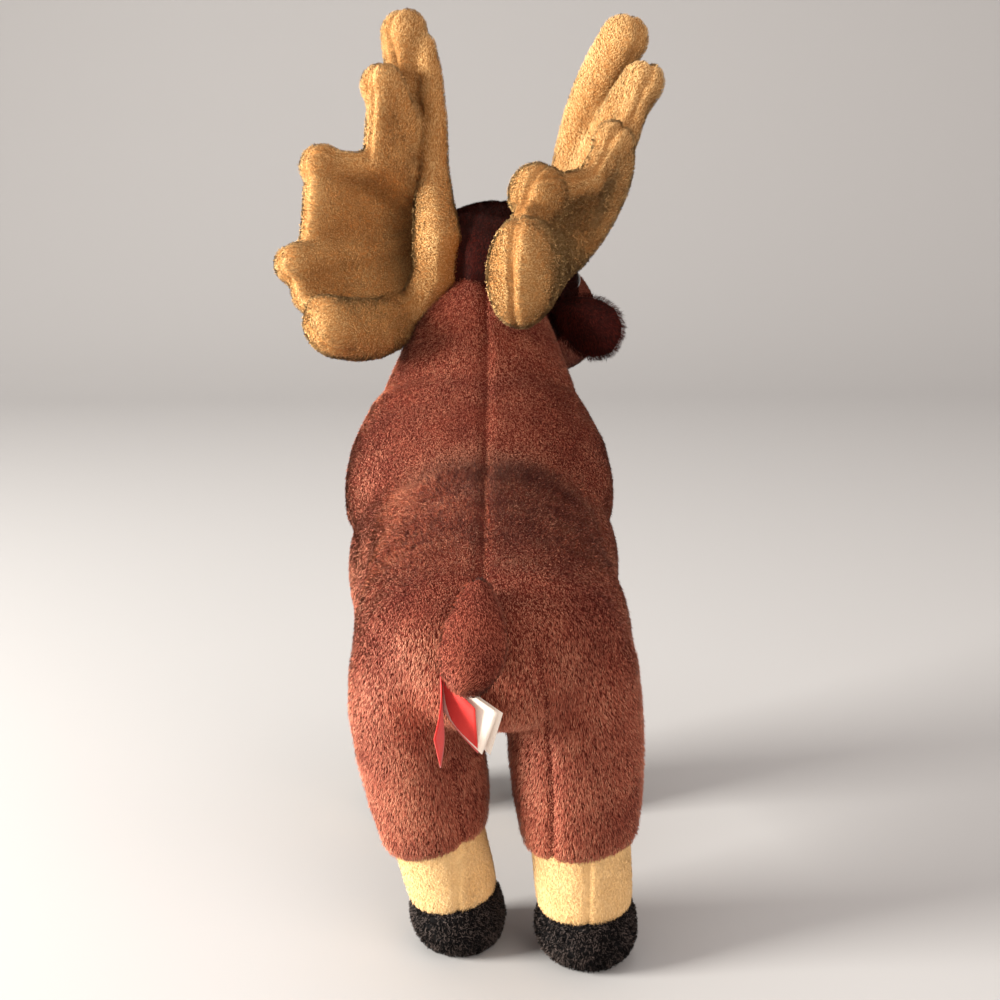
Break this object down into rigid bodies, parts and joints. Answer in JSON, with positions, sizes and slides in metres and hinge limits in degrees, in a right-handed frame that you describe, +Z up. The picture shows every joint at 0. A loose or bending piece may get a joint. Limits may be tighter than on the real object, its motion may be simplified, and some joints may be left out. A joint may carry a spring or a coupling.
{
  "type": "plush moose",
  "caption": "Standing four-legged soft toy moose with palmate antlers, pile cloth body, contrasting cuffs and hooves, a hanging tail and a folded sewn-in label.",
  "frame": {"origin": "on the floor under the middle of the whole toy, at the height of the soles", "axes": "+Z up, nose towards -Y, +X on the toy's own left"},
  "size_m": [0.1556, 0.3184, 0.3366],
  "materials": {
    "brown_plush": "short pile plush with a slight sheen",
    "maroon_plush": "short pile plush",
    "tan_velour": "short brushed velour",
    "cream_velour": "short brushed velour",
    "black_fleece": "looped fleece",
    "white_fibre": "loose polyester fibre",
    "red_satin": "satin ribbon",
    "black_plastic": "polished",
    "clear_plastic": "moulded, unpolished",
    "black_thread": "satin stitch"
  },
  "bodies": {
    "body": {"torso": "brown_plush", "torso_filling": "white_fibre"},
    "neck": {"neck": "brown_plush"},
    "head": {"head": "maroon_plush", "head_filling": "white_fibre", "muzzle": "brown_plush", "eye_left": "black_plastic", "eye_right": "black_plastic", "eye_washer_left": "clear_plastic", "eye_washer_right": "clear_plastic", "nostril_left": "black_thread", "nostril_right": "black_thread"},
    "antler_left": {"antler_left": "tan_velour"},
    "antler_right": {"antler_right": "tan_velour"},
    "ear_left": {"ear_left": "maroon_plush"},
    "ear_right": {"ear_right": "maroon_plush"},
    "leg_hind_left": {"leg_hind_left": "brown_plush", "cuff_hind_left": "cream_velour", "hoof_hind_left": "black_fleece", "leg_filling_hind_left": "white_fibre"},
    "leg_hind_right": {"leg_hind_right": "brown_plush", "cuff_hind_right": "cream_velour", "hoof_hind_right": "black_fleece", "leg_filling_hind_right": "white_fibre"},
    "leg_front_left": {"leg_front_left": "brown_plush", "cuff_front_left": "cream_velour", "hoof_front_left": "black_fleece", "leg_filling_front_left": "white_fibre"},
    "leg_front_right": {"leg_front_right": "brown_plush", "cuff_front_right": "cream_velour", "hoof_front_right": "black_fleece", "leg_filling_front_right": "white_fibre"},
    "tail": {"tail": "brown_plush"},
    "label": {"label": "red_satin"}
  },
  "joints": [
    {"name": "neck_nod", "type": "hinge", "parent": "body", "child": "neck", "pos_m": [-0.00212, -0.04919, 0.17497], "axis": [1, 0, 0], "range_deg": [-12, 12], "stiffness_Nm_per_rad": 1.2},
    {"name": "head_turn", "type": "hinge", "parent": "neck", "child": "head", "pos_m": [-0.00512, -0.06983, 0.21428], "axis": [0, 0, 1], "range_deg": [-15, 30], "stiffness_Nm_per_rad": 0.4},
    {"name": "antler_left_flex", "type": "hinge", "parent": "head", "child": "antler_left", "pos_m": [0.0149, -0.10406, 0.24328], "axis": [0.4384, 0.8988, 0], "range_deg": [-5, 5], "stiffness_Nm_per_rad": 0.15},
    {"name": "antler_right_flex", "type": "hinge", "parent": "head", "child": "antler_right", "pos_m": [-0.04442, -0.07513, 0.24328], "axis": [0.4384, 0.8988, 0], "range_deg": [-5, 5], "stiffness_Nm_per_rad": 0.15},
    {"name": "ear_left_fold", "type": "hinge", "parent": "head", "child": "ear_left", "pos_m": [0.01347, -0.09558, 0.21728], "axis": [0, 0, 1], "range_deg": [-30, 10], "stiffness_Nm_per_rad": 0.02},
    {"name": "ear_right_fold", "type": "hinge", "parent": "head", "child": "ear_right", "pos_m": [-0.03686, -0.07103, 0.21728], "axis": [0, 0, 1], "range_deg": [-10, 30], "stiffness_Nm_per_rad": 0.02},
    {"name": "tail_lift", "type": "hinge", "parent": "body", "child": "tail", "pos_m": [0.00188, 0.12976, 0.14347], "axis": [1, 0, 0], "range_deg": [0, 70], "stiffness_Nm_per_rad": 0.01},
    {"name": "label_flip", "type": "hinge", "parent": "body", "child": "label", "pos_m": [0.01548, 0.14196, 0.11995], "axis": [0, 0, -1], "range_deg": [0, 60], "stiffness_Nm_per_rad": 0.0006},
    {"name": "leg_hind_left_swing", "type": "hinge", "parent": "body", "child": "leg_hind_left", "pos_m": [0.02588, 0.10876, 0.106], "axis": [1, 0, 0], "range_deg": [-15, 15], "stiffness_Nm_per_rad": 0.9},
    {"name": "leg_hind_right_swing", "type": "hinge", "parent": "body", "child": "leg_hind_right", "pos_m": [-0.03012, 0.10876, 0.106], "axis": [1, 0, 0], "range_deg": [-15, 15], "stiffness_Nm_per_rad": 0.9},
    {"name": "leg_front_left_swing", "type": "hinge", "parent": "body", "child": "leg_front_left", "pos_m": [0.02888, -0.01532, 0.106], "axis": [1, 0, 0], "range_deg": [-15, 15], "stiffness_Nm_per_rad": 0.9},
    {"name": "leg_front_right_swing", "type": "hinge", "parent": "body", "child": "leg_front_right", "pos_m": [-0.03312, -0.01532, 0.106], "axis": [1, 0, 0], "range_deg": [-15, 15], "stiffness_Nm_per_rad": 0.9}
  ]
}
